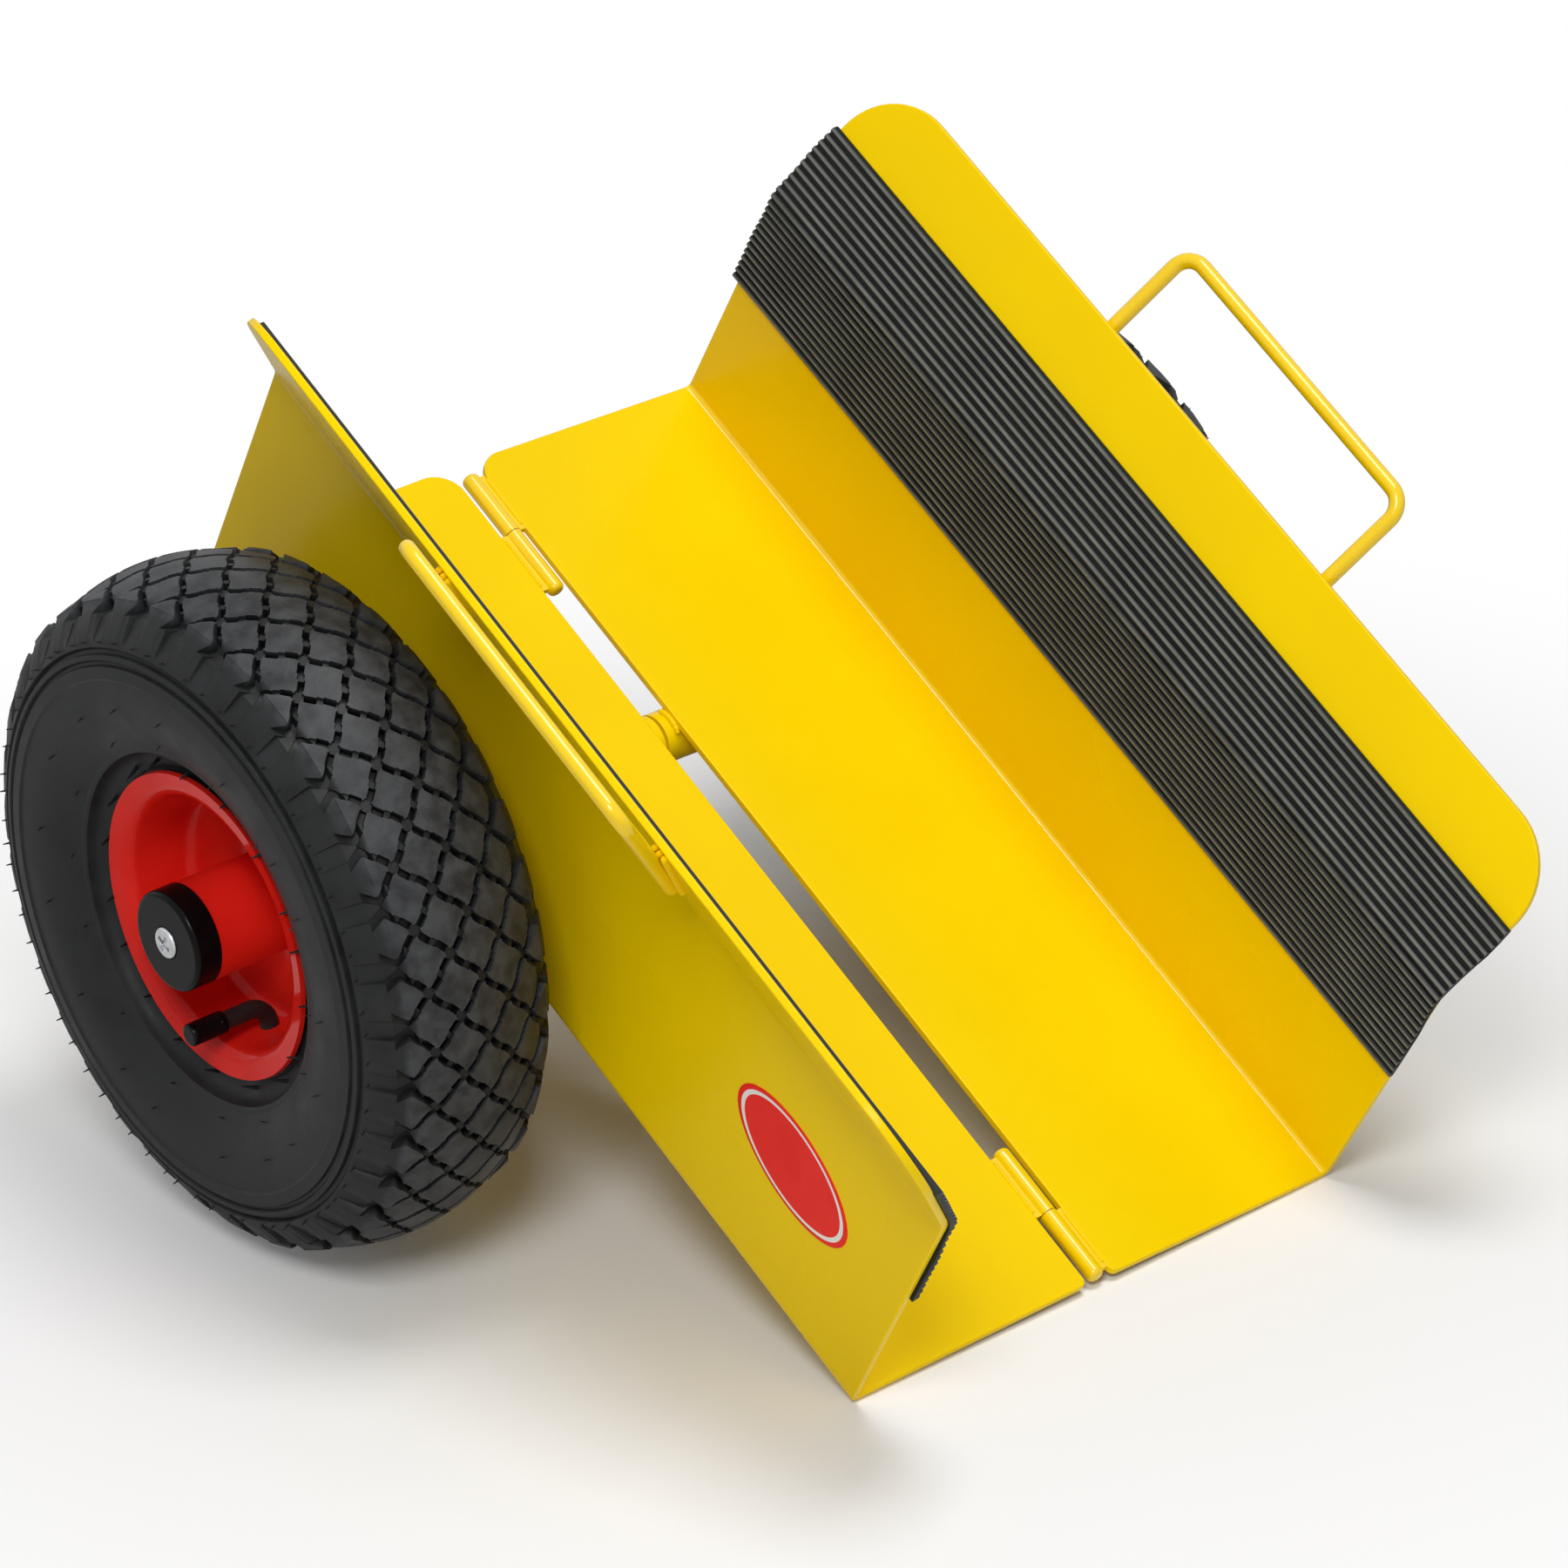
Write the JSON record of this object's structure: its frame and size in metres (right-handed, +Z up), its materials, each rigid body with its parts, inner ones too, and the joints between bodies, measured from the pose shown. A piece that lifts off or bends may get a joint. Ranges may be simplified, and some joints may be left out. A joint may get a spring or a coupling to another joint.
{
  "type": "panel dolly",
  "caption": "Low hinged panel dolly: bent steel jaws with ribbed rubber grips, rod handles and air-filled wheels that fold together to clamp a board's edge.",
  "frame": {"origin": "middle of the underside of the box round the dolly as it stands, on the floor", "axes": "+Z up from the floor, +X across the dolly to its right half, +Y along the decks from the near corners that rest on the floor to the raised far end"},
  "size_m": [0.4466, 0.4488, 0.3415],
  "materials": {
    "yellow_powder_coat": "glossy yellow powder coat on bent steel",
    "red_enamel": "glossy red enamel on pressed steel",
    "mat_rubber": "ribbed black rubber matting, satin",
    "tyre_rubber": "moulded black tyre rubber",
    "valve_rubber": "smooth black rubber",
    "black_plastic": "black moulded plastic, satin gloss",
    "natural_nylon": "natural nylon",
    "bright_steel": "zinc-plated and turned steel"
  },
  "bodies": {
    "right_half": {"right_plate": "yellow_powder_coat", "right_grip_mat": "mat_rubber", "right_handle": "yellow_powder_coat", "right_axle": "yellow_powder_coat", "right_axle_collar": "yellow_powder_coat", "right_thrust_washer": "natural_nylon", "right_hub_cap": "black_plastic", "right_cap_screw": "bright_steel", "right_knuckles": "yellow_powder_coat", "hinge_pins": "bright_steel"},
    "left_half": {"left_plate": "yellow_powder_coat", "left_grip_mat": "mat_rubber", "left_handle": "yellow_powder_coat", "left_axle": "yellow_powder_coat", "left_axle_collar": "yellow_powder_coat", "left_thrust_washer": "natural_nylon", "left_hub_cap": "black_plastic", "left_cap_screw": "bright_steel", "left_knuckles": "yellow_powder_coat"},
    "right_wheel": {"right_hub_tube": "red_enamel", "right_roller_cages": "natural_nylon", "right_rollers": "bright_steel", "right_rim_outer": "red_enamel", "right_rim_inner": "red_enamel", "right_tyre": "tyre_rubber", "right_inner_tube": "valve_rubber", "right_valve_stem": "valve_rubber", "right_valve_cap": "black_plastic"},
    "left_wheel": {"left_hub_tube": "red_enamel", "left_roller_cages": "natural_nylon", "left_rollers": "bright_steel", "left_rim_outer": "red_enamel", "left_rim_inner": "red_enamel", "left_tyre": "tyre_rubber", "left_inner_tube": "valve_rubber", "left_valve_stem": "valve_rubber", "left_valve_cap": "black_plastic"}
  },
  "joints": [
    {"name": "fold", "type": "hinge", "parent": "right_half", "child": "left_half", "pos_m": [0, 0.02504, 0.10785], "axis": [0, 0.861, 0.5086], "range_deg": [0, 86]},
    {"name": "right_wheel_spin", "type": "hinge", "parent": "right_half", "child": "right_wheel", "pos_m": [0.17614, 0.09442, 0.13], "axis": [0.9997, 0.0133, -0.0225], "continuous": true},
    {"name": "left_wheel_spin", "type": "hinge", "parent": "left_half", "child": "left_wheel", "pos_m": [-0.17614, 0.09442, 0.13], "axis": [0.9997, -0.0133, 0.0225], "continuous": true}
  ]
}
